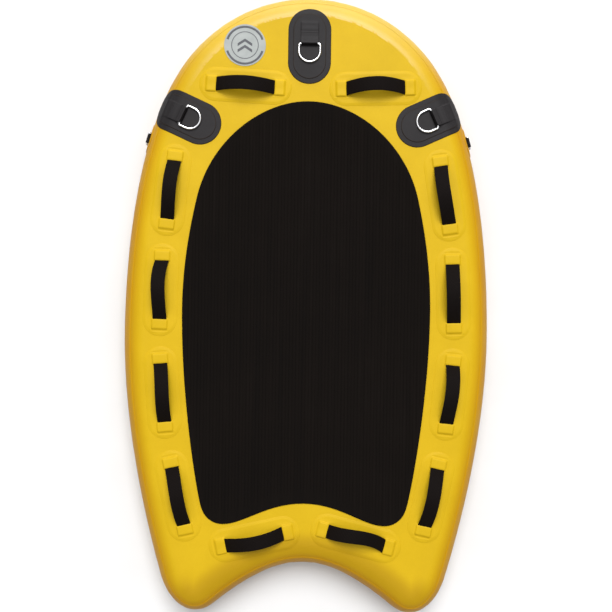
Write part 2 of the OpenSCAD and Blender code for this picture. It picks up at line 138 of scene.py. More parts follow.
def closed_loop(curves, steps):
    """The right half and its mirror image as one loop of points and outward normals."""
    pts, head = curve_points(curves, steps)
    out = np.stack([-head[:, 1], head[:, 0]], axis=1)
    flip = np.array([-1.0, 1.0])
    return np.vstack([pts, pts[-2:0:-1] * flip]), np.vstack([out, out[-2:0:-1] * flip])


LOOP, OUT = closed_loop(SIDE_CURVES, SIDE_STEPS)
LOOP_N = len(LOOP)
HALF_N = LOOP_N // 2

# Arc length down the rail's section against the angle from its top.
THETA = np.linspace(0, math.pi / 2, 400)
ARC = np.concatenate([[0], np.cumsum(np.hypot(np.diff(RAIL * np.sin(THETA)), np.diff(MID * np.cos(THETA))))])


def smooth(x):
    x = np.clip(x, 0, 1)
    return x * x * (3 - 2 * x)


def on_hull(xy, lift):
    """Lays plan points on the chamber: flat on the deck, wrapped down the rail, then lifted."""
    xy = np.asarray(xy, float).reshape(-1, 2)
    lift = np.broadcast_to(np.asarray(lift, float).reshape(-1), (len(xy),))
    near = np.empty(len(xy), int)
    for start in range(0, len(xy), 4000):
        part = xy[start : start + 4000]
        near[start : start + 4000] = ((part[:, None] - LOOP[None]) ** 2).sum(-1).argmin(1)
    p, n = LOOP[near], OUT[near]
    past = np.maximum(RAIL + BAND - ((p - xy) * n).sum(1), 0)
    th = np.interp(past, ARC, THETA)
    up = np.stack([n[:, 0] * np.sin(th) / RAIL, n[:, 1] * np.sin(th) / RAIL, np.cos(th) / MID], axis=1)
    up /= np.linalg.norm(up, axis=1, keepdims=True)
    ground = xy + n * (RAIL * np.sin(th) - past)[:, None]
    base = np.column_stack([ground, MID + MID * np.cos(th)])
    step = BAND * smooth((np.degrees(th) - (90 - BAND_ANGLE) + 1.0) / 2.0)
    return base + up * (lift + step)[:, None]


# ---------------------------------------------------------------- mesh helpers


def make_object(name, verts, faces, body="board", material=None, attributes=None, shade=True):
    mesh = bpy.data.meshes.new(name)
    mesh.from_pydata([tuple(v) for v in np.asarray(verts, float)], [], [tuple(f) for f in faces])
    for key, values in (attributes or {}).items():
        a = mesh.attributes.new(key, "FLOAT_VECTOR", "POINT")
        a.data.foreach_set("vector", np.asarray(values, np.float32).reshape(-1))
    mesh.validate()
    if shade:
        mesh.shade_smooth()
    obj = bpy.data.objects.new(name, mesh)
    bpy.context.scene.collection.objects.link(obj)
    if material:
        mesh.materials.append(material)
    if body:
        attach(obj, body)
    return obj


def weld(obj, distance=1e-6):
    bm = bmesh.new()
    bm.from_mesh(obj.data)
    bmesh.ops.remove_doubles(bm, verts=bm.verts, dist=distance)
    bmesh.ops.dissolve_degenerate(bm, dist=distance / 10, edges=bm.edges)
    bmesh.ops.recalc_face_normals(bm, faces=bm.faces)
    bm.to_mesh(obj.data)
    bm.free()
    obj.data.shade_smooth()
    obj.data.set_sharp_from_angle(angle=math.radians(48))
    return obj


def grid_quads(rows, cols, offset=0, flip=False, wrap=False):
    """Faces of a grid whose point (r, c) stands at offset + r * cols + c."""
    r, c = np.meshgrid(np.arange(rows - (0 if wrap else 1)), np.arange(cols - 1), indexing="ij")
    nxt = (r + 1) % rows
    a, b = offset + r * cols + c, offset + r * cols + c + 1
    d, e = offset + nxt * cols + c, offset + nxt * cols + c + 1
    quads = np.stack([a, d, e, b], axis=-1).reshape(-1, 4)
    return (quads[:, ::-1] if flip else quads).tolist()


def slab(name, top, bottom, rows, cols, wrap=False, **kw):
    """A closed plate from two matching grids of points; wrap joins the last row to the first."""
    n = rows * cols
    faces = grid_quads(rows, cols, wrap=wrap) + grid_quads(rows, cols, n, flip=True, wrap=wrap)
    if wrap:
        rims = [[r * cols for r in range(rows)][::-1], [r * cols + cols - 1 for r in range(rows)]]
    else:
        rim = [(0, c) for c in range(cols)] + [(r, cols - 1) for r in range(1, rows)]
        rim += [(rows - 1, c) for c in range(cols - 2, -1, -1)] + [(r, 0) for r in range(rows - 2, 0, -1)]
        rims = [[r * cols + c for r, c in rim]]
    for ids in rims:
        for a, b in zip(ids, ids[1:] + ids[:1]):
            faces.append((a, b, b + n, a + n))
    attributes = kw.pop("attributes", None)
    if attributes:
        attributes = {k: np.vstack([v, v]) for k, v in attributes.items()}
    return weld(make_object(name, np.vstack([top, bottom]), faces, attributes=attributes, **kw))


# ---------------------------------------------------------------- materials


def node_material(name):
    mat = bpy.data.materials.new(name)
    mat.use_nodes = True
    nodes, links = mat.node_tree.nodes, mat.node_tree.links
    shader = next(n for n in nodes if n.type == "BSDF_PRINCIPLED")
    return mat, nodes, links, shader


def object_coords(nodes, links, scale):
    place = nodes.new("ShaderNodeTexCoord")
    mapping = nodes.new("ShaderNodeMapping")
    mapping.inputs["Scale"].default_value = scale
    links.new(place.outputs["Object"], mapping.inputs["Vector"])
    return mapping.outputs["Vector"]


def attribute_coords(nodes, links, key, scale):
    place = nodes.new("ShaderNodeAttribute")
    place.attribute_name = key
    mapping = nodes.new("ShaderNodeMapping")
    mapping.inputs["Scale"].default_value = scale
    links.new(place.outputs["Vector"], mapping.inputs["Vector"])
    return mapping.outputs["Vector"]


def noise(nodes, links, vector, scale, detail=4.0, roughness=0.55):
    n = nodes.new("ShaderNodeTexNoise")
    n.inputs["Scale"].default_value = scale
    n.inputs["Detail"].default_value = detail
    n.inputs["Roughness"].default_value = roughness
    links.new(vector, n.inputs["Vector"])
    return n.outputs["Fac"]


def ramp(nodes, links, value, stops):
    r = nodes.new("ShaderNodeValToRGB")
    while len(r.color_ramp.elements) < len(stops):
        r.color_ramp.elements.new(0.5)
    for e, (pos, colour) in zip(r.color_ramp.elements, stops):
        e.position = pos
        e.color = (*colour, 1) if len(colour) == 3 else colour
    links.new(value, r.inputs["Fac"])
    return r.outputs["Color"]


def span(nodes, links, value, low, high):
    m = nodes.new("ShaderNodeMapRange")
    m.inputs["To Min"].default_value = low
    m.inputs["To Max"].default_value = high
    links.new(value, m.inputs["Value"])
    return m.outputs["Result"]


def math_node(nodes, links, kind, a, b):
    m = nodes.new("ShaderNodeMath")
    m.operation = kind
    for socket, value in zip(m.inputs, (a, b)):
        if isinstance(value, (int, float)):
            socket.default_value = value
        else:
            links.new(value, socket)
    return m.outputs["Value"]


def bump(nodes, links, shader, height, strength, distance):
    b = nodes.new("ShaderNodeBump")
    b.inputs["Strength"].default_value = strength
    b.inputs["Distance"].default_value = distance
    links.new(height, b.inputs["Height"])
    links.new(b.outputs["Normal"], shader.inputs["Normal"])


# how dark the painted shade along the tail's slopes goes
PAINTED_TAIL_SHADE = 0.24
SHEEN = 0.7


def coated_fabric(name, stops, rough=(0.38, 0.52), specular=0.1, grain=1.0, edge_shade=None, deep=None):
    """Coated fabric: faint blotches of colour, a fine woven print-through and a soft sheen.

    With an edge-shade colour, a plate's last millimetres are painted darker: painted shade along its rolled
    edge.
    With a deep colour, the surface takes on that deeper orange where the "rail" attribute's X rises (the
    side wall's own deeper tone, with painted shade towards the tail), takes painted shade towards black with
    its Y and gains a sheen with its Z.
    """
    mat, nodes, links, shader = node_material(name)
    v = object_coords(nodes, links, (1, 1, 1))
    blotch = noise(nodes, links, v, 7.0, 5.0, 0.6)
    fine = noise(nodes, links, v, 160.0, 3.0, 0.6)
    mixed = math_node(nodes, links, "ADD", math_node(nodes, links, "MULTIPLY", blotch, 0.8),
                      math_node(nodes, links, "MULTIPLY", fine, 0.2))
    colour = ramp(nodes, links, mixed, stops)
    # painted shade: near the plate's edge the colour is mixed towards a dark brown, as the rolled edge sits
    # in shadow
    if edge_shade:
        split = nodes.new("ShaderNodeSeparateXYZ")
        links.new(attribute_coords(nodes, links, "cloth", (1, 1, 1)), split.inputs["Vector"])
        near = nodes.new("ShaderNodeMapRange")
        near.inputs["From Min"].default_value = edge_shade[1]
        near.inputs["From Max"].default_value = edge_shade[2]
        near.inputs["To Min"].default_value = edge_shade[3]
        near.inputs["To Max"].default_value = 0.0
        links.new(split.outputs["Z"], near.inputs["Value"])
        mix = nodes.new("ShaderNodeMix")
        mix.data_type = "RGBA"
        links.new(near.outputs["Result"], mix.inputs[0])
        links.new(colour, mix.inputs[6])
        mix.inputs[7].default_value = (*edge_shade[0], 1)
        colour = mix.outputs[2]
    if deep:
        split = nodes.new("ShaderNodeSeparateXYZ")
        links.new(attribute_coords(nodes, links, "rail", (1, 1, 1)), split.inputs["Vector"])
        # deeper orange by the rail attribute's X: the side wall's own tone and, towards the tail, painted
        # shade
        mix = nodes.new("ShaderNodeMix")
        mix.data_type = "RGBA"
        uneven = span(nodes, links, blotch, 0.55, 1.3)
        wander = math_node(nodes, links, "MULTIPLY", uneven, split.outputs["X"])
        links.new(wander, mix.inputs[0])
        links.new(colour, mix.inputs[6])
        mix.inputs[7].default_value = (*deep, 1)
        # painted shade: the colour is mixed towards black by the rail attribute's Y
        tail_shade = nodes.new("ShaderNodeMix")
        tail_shade.data_type = "RGBA"
        links.new(math_node(nodes, links, "MULTIPLY", split.outputs["Y"], PAINTED_TAIL_SHADE), tail_shade.inputs[0])
        links.new(mix.outputs[2], tail_shade.inputs[6])
        tail_shade.inputs[7].default_value = (0, 0, 0, 1)
        colour = tail_shade.outputs[2]
        sheen = span(nodes, links, split.outputs["Z"], specular, SHEEN)
        links.new(sheen, shader.inputs["Specular IOR Level"])
    else:
        shader.inputs["Specular IOR Level"].default_value = specular
    links.new(colour, shader.inputs["Base Color"])
    links.new(span(nodes, links, fine, *rough), shader.inputs["Roughness"])
    threads = []
    for axis in range(2):
        w = nodes.new("ShaderNodeTexWave")
        w.bands_direction = "XY"[axis]
        w.inputs["Scale"].default_value = 210.0
        w.inputs["Distortion"].default_value = 0.4
        links.new(v, w.inputs["Vector"])
        threads.append(w.outputs["Fac"])
    weave = math_node(nodes, links, "MULTIPLY", math_node(nodes, links, "ADD", *threads), 0.35)
    height = math_node(nodes, links, "ADD", weave, math_node(nodes, links, "MULTIPLY", fine, 0.6))
    bump(nodes, links, shader, height, 0.25 * grain, 0.0004)
    return mat


def foam(name):
    """Closed-cell foam: near black, dry, with fine cells and faint lighter scuffs along the grooves."""
    mat, nodes, links, shader = node_material(name)
    v = object_coords(nodes, links, (1, 1, 1))
    streak = noise(nodes, links, object_coords(nodes, links, (60, 1.2, 1)), 2.0, 4.0, 0.6)
    cells = noise(nodes, links, v, 900.0, 2.0, 0.5)
    blotch = noise(nodes, links, v, 4.0, 4.0, 0.6)
    tone = math_node(nodes, links, "ADD", math_node(nodes, links, "MULTIPLY", streak, 0.55),
                     math_node(nodes, links, "MULTIPLY", blotch, 0.45))
    links.new(ramp(nodes, links, tone, [(0.3, (0.0040, 0.0032, 0.0028)), (0.55, (0.0055, 0.0041, 0.0034)),
                                        (0.8, (0.0080, 0.0062, 0.0054))]), shader.inputs["Base Color"])
    links.new(span(nodes, links, cells, 0.78, 0.95), shader.inputs["Roughness"])
    shader.inputs["Specular IOR Level"].default_value = 0.05
    bump(nodes, links, shader, cells, 0.35, 0.0003)
    return mat


def webbing(name, dark, light):
    """Woven webbing, read from each strap's own lengths along, across and through."""
    mat, nodes, links, shader = node_material(name)
    v = attribute_coords(nodes, links, "cloth", (1, 1, 1))
    waves = []
    for direction, scale, shape in (("X", 130.0, "SIN"), ("Y", 95.0, "SIN"), ("DIAGONAL", 75.0, "SIN")):
        w = nodes.new("ShaderNodeTexWave")
        w.bands_direction = direction
        w.wave_profile = shape
        w.inputs["Scale"].default_value = scale
        w.inputs["Distortion"].default_value = 0.5
        w.inputs["Detail Scale"].default_value = 2.0
        links.new(v, w.inputs["Vector"])
        waves.append(w.outputs["Fac"])
    weave = math_node(nodes, links, "MULTIPLY", waves[0], waves[1])
    weave = math_node(nodes, links, "ADD", weave, math_node(nodes, links, "MULTIPLY", waves[2], 0.4))
    fuzz = noise(nodes, links, object_coords(nodes, links, (1, 1, 1)), 420.0, 4.0, 0.7)
    tone = math_node(nodes, links, "ADD", math_node(nodes, links, "MULTIPLY", weave, 0.5),
                     math_node(nodes, links, "MULTIPLY", fuzz, 0.4))
    links.new(ramp(nodes, links, tone, [(0.15, dark), (0.85, light)]), shader.inputs["Base Color"])
    links.new(span(nodes, links, fuzz, 0.6, 0.85), shader.inputs["Roughness"])
    shader.inputs["Specular IOR Level"].default_value = 0.06
    bump(nodes, links, shader, weave, 0.8, 0.0006)
    return mat


def metal(name, colour, rough):
    mat, nodes, links, shader = node_material(name)
    v = object_coords(nodes, links, (1, 1, 1))
    scratch = noise(nodes, links, object_coords(nodes, links, (900, 200, 900)), 1.0, 6.0, 0.7)
    blotch = noise(nodes, links, v, 60.0, 4.0, 0.6)
    links.new(ramp(nodes, links, blotch, [(0.3, tuple(c * 0.88 for c in colour)), (0.7, colour)]),
              shader.inputs["Base Color"])
    links.new(span(nodes, links, scratch, *rough), shader.inputs["Roughness"])
    shader.inputs["Metallic"].default_value = 1.0
    bump(nodes, links, shader, scratch, 0.08, 0.0002)
    return mat


def plastic(name, dark, light, rough=(0.4, 0.6)):
    mat, nodes, links, shader = node_material(name)
    v = object_coords(nodes, links, (1, 1, 1))
    grain = noise(nodes, links, v, 700.0, 3.0, 0.6)
    blotch = noise(nodes, links, v, 30.0, 4.0, 0.6)
    links.new(ramp(nodes, links, blotch, [(0.3, dark), (0.7, light)]), shader.inputs["Base Color"])
    links.new(span(nodes, links, grain, *rough), shader.inputs["Roughness"])
    bump(nodes, links, shader, grain, 0.2, 0.0003)
    return mat


# the deeper orange of the side wall: partly its own deeper tone, partly painted shade, as shaded yellow
# slopes look more orange
DEEP_YELLOW = (0.470, 0.228, 0.0026)
YELLOW_STOPS = [
    (0.25, (0.505, 0.325, 0.0055)),
    (0.5, (0.548, 0.352, 0.0070)),
    (0.75, (0.590, 0.385, 0.0100)),
]
YELLOW = coated_fabric("yellow_coated_fabric", YELLOW_STOPS, deep=DEEP_YELLOW)
PATCH_YELLOW = coated_fabric("yellow_patch_fabric", YELLOW_STOPS, deep=DEEP_YELLOW)
GREY_STOPS = [
    (0.25, (0.0105, 0.0092, 0.0100)),
    (0.5, (0.0140, 0.0122, 0.0130)),
    (0.75, (0.0180, 0.0160, 0.0172)),
]
# the grey plates take painted shade along their last few millimetres of edge
GREY = coated_fabric("grey_coated_fabric", GREY_STOPS, rough=(0.48, 0.66), specular=0.2,
                     edge_shade=((0.014, 0.0075, 0.0035), 0.8 * MM, 3.5 * MM, 0.95))
FOAM = foam("closed_cell_foam")
WEBBING = webbing("handle_webbing", (0.0030, 0.0019, 0.0016), (0.0085, 0.0058, 0.0050))
LOOP_WEBBING = webbing("tow_webbing", (0.0026, 0.0020, 0.0020), (0.0075, 0.0062, 0.0062))
STEEL = metal("polished_steel", (0.86, 0.86, 0.87), (0.12, 0.26))
BADGE = plastic("badge_grey", (0.25, 0.27, 0.26), (0.31, 0.33, 0.32), (0.35, 0.5))
PRINT = plastic("badge_print", (0.022, 0.023, 0.032), (0.038, 0.040, 0.050), (0.35, 0.5))
VALVE = plastic("valve_plastic", (0.055, 0.058, 0.063), (0.075, 0.078, 0.085))
WHITE = plastic("white_plastic", (0.70, 0.70, 0.66), (0.80, 0.80, 0.77))
SEAL = plastic("seal_rubber", (0.008, 0.008, 0.008), (0.014, 0.014, 0.014), (0.6, 0.8))
THREAD = plastic("thread", (0.62, 0.60, 0.54), (0.72, 0.70, 0.66), (0.7, 0.9))

# ---------------------------------------------------------------- chamber skins and side band


def ripple(i_values, angle, seed):
    """Tiny puckers where the coated fabric is drawn round the nose and the tail tips."""
    pts = LOOP[i_values % LOOP_N]
    along = i_values / LOOP_N * 2 * math.pi
    curved = smooth((np.abs(pts[:, 1]) - 0.55 * HALF_L) / (0.35 * HALF_L))
    wave = np.sin(along * 61 + seed) * 0.5 + np.sin(along * 97 + 2.1 * seed) * 0.3
    wave = wave + np.sin(along * 149 + seed) * 0.2
    return 0.35 * MM * wave * curved * math.cos(math.radians(angle)) ** 2


def rail_tone(angle):
    """How much of the deeper colour shows at a section angle: none on the flat, all on the side wall."""
    return smooth((88 - np.abs(angle)) / 50)


def tail_facing(normals):
    """How much an outline point faces the tail, where the coating takes painted shade and a deeper orange.
    """
    return smooth((-normals[:, 1] - 0.15) / 0.6)


def nose_facing(normals):
    """How much an outline point faces the nose, where the coating has a sheen."""
    return smooth((normals[:, 1] - 0.35) / 0.5)


def flat_tone(xy):
    """Tone of the flat deck: a deeper orange and painted shade along the edge of the tail, with a sheen
    along the nose.
    """
    near = np.concatenate([((part[:, None] - LOOP[None]) ** 2).sum(-1).argmin(1)
                           for part in np.array_split(xy, max(1, len(xy) // 4000))])
    inside = ((LOOP[near] - xy) * OUT[near]).sum(1)
    share = smooth((108 * MM - inside) / (46 * MM)) * tail_facing(OUT[near])
    sheen = smooth((45 * MM - inside) / (45 * MM)) * nose_facing(OUT[near])
    return np.column_stack([0.35 * share, share, sheen])


def rail_attribute(angles, steps):
    """The "rail" attribute of a grid of outline steps by section angles."""
    depth = np.tile(rail_tone(np.abs(angles)), len(steps))
    facing = tail_facing(OUT[steps % LOOP_N])
    # painted shade on tail-facing steps, strongest down the side wall
    tail_shade = np.outer(facing, 0.45 + 0.55 * smooth((np.abs(angles) - 50) / 35)).reshape(-1)
    face = np.repeat(facing, len(angles))
    sheen = np.repeat(nose_facing(OUT[steps % LOOP_N]), len(angles))
    return np.column_stack([np.maximum(depth, 0.35 * face) * (1 - sheen), tail_shade, sheen])


def rail_ring(angle, lift, i_values):
    """One row round the rail at a section angle, lift above the chamber's skin."""
    a = math.radians(angle)
    p, n = LOOP[i_values % LOOP_N], OUT[i_values % LOOP_N]
    r = (RAIL + lift + ripple(i_values, angle, 1.7)) * math.cos(a) - RAIL - BAND
    return np.column_stack([p + n * r[:, None], np.full(len(p), MID + (MID + lift) * math.sin(a))])


def chamber_face(name, node, sign):
    """The deck or the underside: a flat sheet with its part of the rounded rail, as a thick skin."""
    steps = np.arange(LOOP_N)
    angles = sign * np.array([90, 84, 78, 72, 66, 60, 55, 50, 45, 40, 35.0])
    rows, cols = LOOP_N, len(angles)
    outer = np.stack([rail_ring(a, 0.0, steps) for a in angles], axis=1)
    inner = np.stack([rail_ring(a, -SKIN, steps) for a in angles], axis=1)
    n = rows * cols
    verts = [outer.reshape(-1, 3), inner.reshape(-1, 3)]
    tone = rail_attribute(angles, steps)
    faces = grid_quads(rows, cols, 0, flip=sign > 0, wrap=True)
    faces += grid_quads(rows, cols, n, flip=sign < 0, wrap=True)
    for r in range(rows):
        a, b = r * cols + cols - 1, ((r + 1) % rows) * cols + cols - 1
        faces.append((a, b, b + n, a + n))
    # the flat sheet is ruled between matching steps of the front and the back of the outline
    cuts = 72
    u = (1 - np.cos(np.linspace(0, math.pi, cuts + 1)))[:, None] / 2
    quarter = HALF_N // 2
    for layer in (outer[:, 0], inner[:, 0]):
        for side in (1, -1):
            lines = [layer[(side * k) % LOOP_N] * (1 - u) + layer[(side * (HALF_N - k)) % LOOP_N] * u
                     for k in range(quarter + 1)]
            offset = sum(len(v) for v in verts)
            verts.append(np.vstack(lines))
            faces += grid_quads(quarter + 1, cuts + 1, offset)
    rail = np.vstack([tone, tone] + [flat_tone(v[:, :2]) for v in verts[2:]])
    obj = weld(make_object(name, np.vstack(verts), faces, material=YELLOW, attributes={"rail": rail}))
    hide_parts(node)
    return obj


def side_band(name, node, first, last):
    """The lapped strip round the rail, with thin rounded edges."""
    steps = np.arange(first, last + 1)
    edge = BAND_ANGLE
    rounding = [(0, 0.0), (0, 0.35), (0.5, 0.6), (1.2, 0.85), (2.2, 0.97), (3.2, 1.0)]
    half = [(edge - a, t) for a, t in rounding]
    middle = [(a, 1.0) for a in np.linspace(edge - 5, 5 - edge, 30)]
    profile = half + middle + [(-a, t) for a, t in reversed(half)]
    top = np.stack([rail_ring(a, t * BAND, steps) for a, t in profile], axis=1)
    bottom = np.stack([rail_ring(a, 0.0, steps) for a, t in profile], axis=1)
    rows, cols = len(steps), len(profile)
    rail = rail_attribute(np.array([a for a, _ in profile]), steps)
    obj = slab(name, top.reshape(-1, 3), bottom.reshape(-1, 3), rows, cols, material=YELLOW,
               attributes={"rail": rail})
    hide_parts(node)
    return obj


def pierce(obj, centre, axis, radius, depth):
    """Cuts a round hole through a plate."""
    bm = bmesh.new()
    turn = Vector(axis).to_track_quat("Z", "Y").to_matrix().to_4x4()
    bmesh.ops.create_cone(bm, cap_ends=True, segments=96, radius1=radius, radius2=radius, depth=depth,
                          matrix=Matrix.Translation(Vector(centre)) @ turn)
    mesh = bpy.data.meshes.new("cutter")
    bm.to_mesh(mesh)
    bm.free()
    cutter = bpy.data.objects.new("cutter", mesh)
    bpy.context.scene.collection.objects.link(cutter)
    cut = obj.modifiers.new("hole", "BOOLEAN")
    cut.operation = "DIFFERENCE"
    cut.solver = "EXACT"
    cut.object = cutter
    shape = bpy.data.meshes.new_from_object(obj.evaluated_get(bpy.context.evaluated_depsgraph_get()))
    obj.modifiers.clear()
    old = obj.data
    obj.data = shape
    bpy.data.meshes.remove(old)
    bpy.data.objects.remove(cutter)
    bpy.data.meshes.remove(mesh)


chamber_face("deck_skin", "top_skin", 1)
chamber_face("under_skin", "bottom_skin", -1)
TAIL_STEPS = 16
side_band("side_band_right", "rail_band_right", 0, HALF_N - TAIL_STEPS)
side_band("side_band_left", "rail_band_left", HALF_N + TAIL_STEPS, LOOP_N)
tail_band = side_band("side_band_tail", "rail_band_tail", HALF_N - TAIL_STEPS, HALF_N + TAIL_STEPS)

# ---------------------------------------------------------------- deck pad

GROOVE_PITCH = 9 * MM
GROOVE_DEPTH = 1.1 * MM
PAD_BEVEL = 4 * MM


def deck_pad():
    right, _ = curve_points(PAD_CURVES, [60, 30, 60, 24, 40])
    widest = int(np.argmax(right[:, 0]))
    front, back = right[: widest + 1], right[widest:][::-1]
    half = right[widest, 0]
    fine = GROOVE_PITCH / 6
    x = np.arange(0, half - 4 * MM, fine)
    x = np.concatenate([x, half - np.array([4, 3.2, 2.4, 1.7, 1.1, 0.6, 0.25, 0.06]) * MM])
    x = np.concatenate([-x[:0:-1], x])
    y_top = np.interp(np.abs(x), front[:, 0], front[:, 1])
    y_low = np.interp(np.abs(x), back[:, 0], back[:, 1])
    near = np.array([0, 0.35, 0.9, 1.6, 2.5, 3.6, 5.0, 8.0]) * MM
    rows = 64
    columns = []
    for a, b in zip(y_low, y_top):
        length = b - a
        edge = near * min(1, length / (3 * near[-1]))
        middle = np.linspace(a + edge[-1], b - edge[-1], rows)[1:-1]
        columns.append(np.concatenate([a + edge, middle, (b - edge)[::-1]]))
    y = np.array(columns)
    xs = np.repeat(x[:, None], y.shape[1], axis=1)
    outline = np.vstack([right, right[-2:0:-1] * [-1, 1]])
    flat_xy = np.column_stack([xs.reshape(-1), y.reshape(-1)])
    dist = distance_to_loop(flat_xy, outline)
    phase = np.abs((flat_xy[:, 0] / GROOVE_PITCH + 0.5) % 1 - 0.5) * GROOVE_PITCH
    groove = GROOVE_DEPTH * smooth(1.0 - phase / (1.6 * MM)) * smooth((dist - 9 * MM) / (4 * MM))
    t = np.clip(dist / PAD_BEVEL, 0, 1)
    height = (PAD_TOP - DECK) * (0.35 + 0.65 * np.sqrt(1 - (1 - t) ** 2))
    top = np.column_stack([flat_xy, DECK + height - groove])
    bottom = np.column_stack([flat_xy, np.full(len(flat_xy), DECK)])
    obj = slab("grooved_deck_pad", top, bottom, y.shape[0], y.shape[1], material=FOAM)
    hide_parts("deck_pad")
    return obj


def distance_to_loop(xy, loop):
    """Distance from points to a closed outline, piece by piece."""
    a, b = loop, np.roll(loop, -1, axis=0)
    d = b - a
    len2 = (d**2).sum(1)
    keep = len2 > 0
    a, d, len2 = a[keep], d[keep], len2[keep]
    out = np.empty(len(xy))
    for start in range(0, len(xy), 3000):
        p = xy[start : start + 3000]
        w = p[:, None] - a[None]
        t = np.clip((w * d[None]).sum(-1) / len2[None], 0, 1)
        out[start : start + 3000] = np.sqrt(((w - t[..., None] * d[None]) ** 2).sum(-1)).min(1)
    return out


deck_pad()

# ---------------------------------------------------------------- plates that lie on the chamber


class Place:
    """A patch's own frame: u along it, v across it, on the board's plan."""

    def __init__(self, centre, direction):
        self.centre = np.array(centre[:2], float)
        self.u = np.array(direction[:2], float) / np.linalg.norm(direction[:2])
        self.v = np.array([-self.u[1], self.u[0]])

    def lay(self, u, v, lift):
        u, v = np.asarray(u, float).reshape(-1), np.asarray(v, float).reshape(-1)
        return on_hull(self.centre + u[:, None] * self.u + v[:, None] * self.v, lift)


def spread(half, corner, coarse, fine_n):
    """Positions from -half to half, close together near the round ends."""
    end = half - corner
    a = np.linspace(0, math.pi / 2, fine_n)
    arc = end + corner * np.sin(a)
    line = np.arange(0, end, coarse)
    positive = np.concatenate([line, arc[np.searchsorted(arc, line[-1] + coarse / 2):]])
    return np.concatenate([-positive[:0:-1], positive])


def stadium_grid(length, width, coarse, cross):
    """A grid of (u, v) points filling a slot-shaped outline, with each point's distance from the edge."""
    radius = width / 2
    u = spread(length / 2, radius, coarse, 26)
    half = np.sqrt(np.maximum(radius**2 - np.maximum(np.abs(u) - (length / 2 - radius), 0) ** 2, 0))
    share = np.sin(np.linspace(-math.pi / 2, math.pi / 2, cross))
    share = 0.55 * share + 0.45 * np.linspace(-1, 1, cross)
    uu = np.repeat(u[:, None], cross, axis=1)
    vv = half[:, None] * share[None]
    dist = radius - np.hypot(np.maximum(np.abs(uu) - (length / 2 - radius), 0), vv)
    return uu, vv, np.maximum(dist, 0)


def plate(name, place, grid, low, height, material, node=None):
    """A closed plate on the chamber, from low up to height(u, v, distance from the edge)."""
    uu, vv, dist = grid
    top = place.lay(uu, vv, (low + height(uu, vv, dist)).reshape(-1))
    bottom = place.lay(uu, vv, low)
    cloth = np.column_stack([uu.reshape(-1), vv.reshape(-1), dist.reshape(-1)])
    tone = flat_tone(top[:, :2])
    obj = slab(name, top, bottom, *uu.shape, material=material, attributes={"cloth": cloth, "rail": tone})
    if node:
        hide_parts(node)
    return obj


def edge_roll(dist, thickness, roll):
    t = np.clip(dist / roll, 0, 1)
    return thickness * (0.12 + 0.88 * np.sqrt(1 - (1 - t) ** 2))


# ---------------------------------------------------------------- grab handles

HANDLE_PATCH = (255 * MM, 94 * MM)
PLY = 2 * MM
WEB_W, WEB_T = 38 * MM, 2.5 * MM
MOUTH = 80 * MM
COVER = 28 * MM
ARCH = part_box("handle_strap_right_2")[1][2] - DECK - WEB_T / 2


def cover_height(u, v, dist, seed):
    """The patch's ply with a soft rise over each sewn end of the webbing."""
    au = np.abs(u)
    rise = WEB_T + PLY
    inner = smooth((au - MOUTH + 0.5 * MM) / (0.8 * MM))
    outer = smooth((MOUTH + COVER + 3 * MM - au) / (6 * MM))
    across = smooth((WEB_W / 2 + 4.5 * MM - np.abs(v)) / (4.5 * MM))
    hump = rise * inner * outer * across
    beside = np.exp(-((np.abs(v) - WEB_W / 2 - 6 * MM) / (2.2 * MM)) ** 2)
    tuck = 0.5 * MM * beside * smooth((au - 62 * MM) / (14 * MM))
    tuck *= smooth((118 * MM - au) / (10 * MM))
    crease = 0.25 * MM * np.sin(v / (5.2 * MM) + seed) * inner * outer * across
    wave = 0.18 * MM * np.sin(u / (23 * MM) + seed) * np.cos(v / (19 * MM) + 2 * seed)
    pressed = sum(h * MM * np.exp(-((au - MOUTH - COVER - at * MM) / (1.6 * MM)) ** 2)
                  for at, h in ((5.0, -0.45), (8.5, 0.5), (15.0, 0.35)))
    pressed = pressed * smooth((WEB_W / 2 + 7 * MM - np.abs(v)) / (5 * MM))
    feather = PLY * (0.10 + 0.25 * smooth(dist / (1.2 * MM)) + 0.65 * smooth(dist / (9 * MM)))
    return feather + hump + crease + (tuck + wave + pressed) * smooth(dist / (6 * MM))


# How far the middle of each strap hangs to its side, and how unevenly, in millimetres.
SWAY = {
    "nose_right": (6, 0), "right_1": (7, 1.4), "right_2": (4, 0),
    "right_3": (-1.6, -2.5), "right_4": (-1, 1.4), "tail_right": (12, 10),
    "nose_left": (-1, 0), "left_1": (0, 2.2), "left_2": (3.3, 4.7), "left_3": (-3.5, -2.2),
    "left_4": (-1.6, -2.5), "tail_left": (3, -1.8),
}


def strap_line(samples):
    """A handle's half length as (u, height) from its sewn end to its middle, height over the deck."""
    u = np.concatenate([np.linspace(MOUTH + 24 * MM, MOUTH + 2 * MM, 8)[:-1],
                        (MOUTH + 2 * MM) * np.cos(np.linspace(0, math.pi / 2, samples))])
    q = np.clip(u / (MOUTH + 2 * MM), 0, 1)
    base = PLY + WEB_T / 2
    return u, base + (ARCH - base) * np.maximum(1 - q**2, 0) ** 1.12


